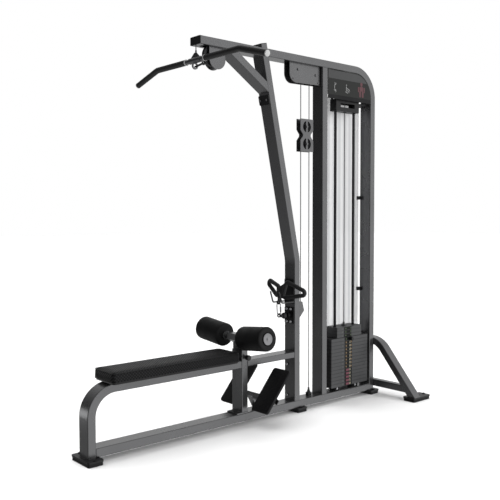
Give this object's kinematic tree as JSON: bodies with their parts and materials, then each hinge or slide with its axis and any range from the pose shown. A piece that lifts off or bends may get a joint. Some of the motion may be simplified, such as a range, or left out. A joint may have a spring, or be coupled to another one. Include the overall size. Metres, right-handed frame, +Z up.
{
  "type": "lat pulldown and low row machine",
  "caption": "Dual-station gym machine: overhead lat pulldown and seated low row over a long bench, with thigh rollers, foot rests, cable pulleys and a pin-select weight stack.",
  "frame": {"origin": "middle of the floor footprint, on the floor", "axes": "+X from the bench towards the weight stack, +Y across the machine away from the pin side, +Z up"},
  "size_m": [2.584, 1.2798, 2.4332],
  "materials": {
    "frame_paint": "fine metallic powder coat",
    "black_paint": "satin black",
    "chrome_steel": "polished",
    "dark_steel": "oiled steel",
    "stack_iron": "painted grey",
    "pulley_nylon": "matte",
    "black_plastic": "matte",
    "shroud_plastic": "frosted",
    "placard_board": "printed panel",
    "cable_coat": "coated wire rope",
    "grip_rubber": "matte",
    "sole_rubber": "matte",
    "foam_cover": "soft foam",
    "pad_cover": "embossed vinyl"
  },
  "bodies": {
    "frame": {"bench_frame": "frame_paint", "base_rail": "frame_paint", "roller_post": "frame_paint", "link_tube": "frame_paint", "mast": "frame_paint", "boom_front": "frame_paint", "tower_arch": "frame_paint", "tower_upright": "frame_paint", "brace": "frame_paint", "brace_bracket": "black_paint", "stabiliser": "frame_paint", "floor_plates": "black_paint", "rubber_soles": "sole_rubber", "placard": "placard_board", "shroud": "shroud_plastic", "shroud_clips": "black_plastic", "guide_rods": "dark_steel", "rod_bumpers": "grip_rubber", "rod_bracket": "frame_paint", "weight_plates": "stack_iron", "pulley_axles": "chrome_steel", "boom_housing": "frame_paint", "low_housing": "frame_paint", "frame_cables": "cable_coat", "cable_port": "black_paint", "handle_tray": "black_paint", "foot_plates": "grip_rubber", "footrest_frame": "frame_paint", "bench_pad": "pad_cover", "tube_caps": "black_plastic", "frame_bolts": "chrome_steel"},
    "lat_cable_end_body": {"lat_cable_end": "black_paint", "lat_cable_drop": "cable_coat"},
    "lat_handle": {"lat_bar": "chrome_steel", "lat_bar_grips": "grip_rubber", "bar_yoke": "black_paint", "bar_carabiner": "black_paint"},
    "stack": {"selected_plate": "stack_iron", "head_plates": "stack_iron", "selector_stem": "chrome_steel", "stack_cable": "cable_coat"},
    "pin": {"selector_pin": "black_plastic"},
    "block": {"block_plates": "frame_paint", "block_cables": "cable_coat", "block_runs": "cable_coat"},
    "row": {"row_handle": "grip_rubber", "row_carabiner": "chrome_steel", "row_stop": "black_plastic", "row_cable_pull": "cable_coat"},
    "front_wheel": {"front_pulley": "pulley_nylon"},
    "boom_wheel": {"boom_pulley": "pulley_nylon"},
    "return_wheel": {"return_pulley": "pulley_nylon"},
    "stack_wheel": {"stack_pulley": "pulley_nylon"},
    "low_wheel": {"low_pulley": "pulley_nylon"},
    "upper_block_wheel": {"upper_block_pulley": "pulley_nylon"},
    "lower_block_wheel": {"lower_block_pulley": "pulley_nylon"},
    "carriage": {"roller_carriage": "frame_paint"},
    "near_roller_body": {"near_roller": "foam_cover"},
    "far_roller_body": {"far_roller": "foam_cover"},
    "pop_pin_body": {"pop_pin": "black_plastic"}
  },
  "joints": [
    {"name": "lat_pull", "type": "slide", "parent": "frame", "child": "lat_cable_end_body", "axis": [0, 0, -1], "range_m": [0, 1.1], "deforming": ["lat_cable_drop"]},
    {"name": "bar_swivel", "type": "hinge", "parent": "lat_cable_end_body", "child": "lat_handle", "pos_m": [-0.439, 0, 2.25], "axis": [0, 0, 1], "range_deg": [-20, 20]},
    {"name": "stack_lift", "type": "slide", "parent": "frame", "child": "stack", "axis": [0, 0, 1], "range_m": [0, 1.1], "deforming": ["stack_cable"]},
    {"name": "selector_pin_pull", "type": "slide", "parent": "stack", "child": "pin", "axis": [0, -1, 0], "range_m": [0, 0.08]},
    {"name": "row_pull", "type": "slide", "parent": "frame", "child": "row", "axis": [-1, 0, 0], "range_m": [0, 0.95], "deforming": ["row_cable_pull"]},
    {"name": "block_drop", "type": "slide", "parent": "frame", "child": "block", "axis": [0, 0, -1], "range_m": [0, 0.475], "deforming": ["block_runs"]},
    {"name": "front_pulley_spin", "type": "hinge", "parent": "frame", "child": "front_wheel", "pos_m": [-0.379, 0, 2.3], "axis": [0, 1, 0], "range_deg": [-1054.4, 0]},
    {"name": "boom_pulley_spin", "type": "hinge", "parent": "frame", "child": "boom_wheel", "pos_m": [0.333, 0, 2.308], "axis": [0, 1, 0], "range_deg": [-1216, 0]},
    {"name": "return_pulley_spin", "type": "hinge", "parent": "frame", "child": "return_wheel", "pos_m": [0.503, 0, 2.289], "axis": [0, 1, 0], "range_deg": [-1662.6, 0]},
    {"name": "stack_pulley_spin", "type": "hinge", "parent": "frame", "child": "stack_wheel", "pos_m": [0.777, 0, 2.275], "axis": [0, 1, 0], "range_deg": [-1216, 0]},
    {"name": "upper_block_pulley_spin", "type": "hinge", "parent": "block", "child": "upper_block_wheel", "pos_m": [0.425, 0, 1.935], "axis": [0, 1, 0], "range_deg": [0, 1579.6]},
    {"name": "low_pulley_spin", "type": "hinge", "parent": "frame", "child": "low_wheel", "pos_m": [0.347, 0, 0.7], "axis": [0, 1, 0], "range_deg": [0, 1436.4]},
    {"name": "lower_block_pulley_spin", "type": "hinge", "parent": "block", "child": "lower_block_wheel", "pos_m": [0.425, 0, 1.819], "axis": [0, 1, 0], "range_deg": [-684.4, 0]},
    {"name": "roller_height", "type": "slide", "parent": "frame", "child": "carriage", "axis": [0, 0, 1], "range_m": [0, 0.15]},
    {"name": "near_roller_spin", "type": "hinge", "parent": "carriage", "child": "near_roller_body", "pos_m": [-0.207, -0.06, 0.566], "axis": [0, -0.9945, 0.1045], "continuous": true},
    {"name": "far_roller_spin", "type": "hinge", "parent": "carriage", "child": "far_roller_body", "pos_m": [-0.207, 0.06, 0.566], "axis": [0, 0.9945, 0.1045], "continuous": true},
    {"name": "pop_pin_pull", "type": "slide", "parent": "frame", "child": "pop_pin_body", "axis": [0, -1, 0], "range_m": [0, 0.012], "stiffness_N_per_m": 400, "springref_m": -0.01}
  ],
  "couplings": [
    {"joint": "stack_lift", "follows": "lat_pull", "ratio": 1},
    {"joint": "front_pulley_spin", "follows": "lat_pull", "rad_per_m": -16.667},
    {"joint": "boom_pulley_spin", "follows": "lat_pull", "rad_per_m": -19.231},
    {"joint": "return_pulley_spin", "follows": "lat_pull", "rad_per_m": -26.316},
    {"joint": "stack_pulley_spin", "follows": "lat_pull", "rad_per_m": -19.231},
    {"joint": "upper_block_pulley_spin", "follows": "lat_pull", "rad_per_m": 25},
    {"joint": "block_drop", "follows": "row_pull", "ratio": 0.5},
    {"joint": "low_pulley_spin", "follows": "row_pull", "rad_per_m": 26.316},
    {"joint": "lower_block_pulley_spin", "follows": "row_pull", "rad_per_m": -12.5}
  ]
}
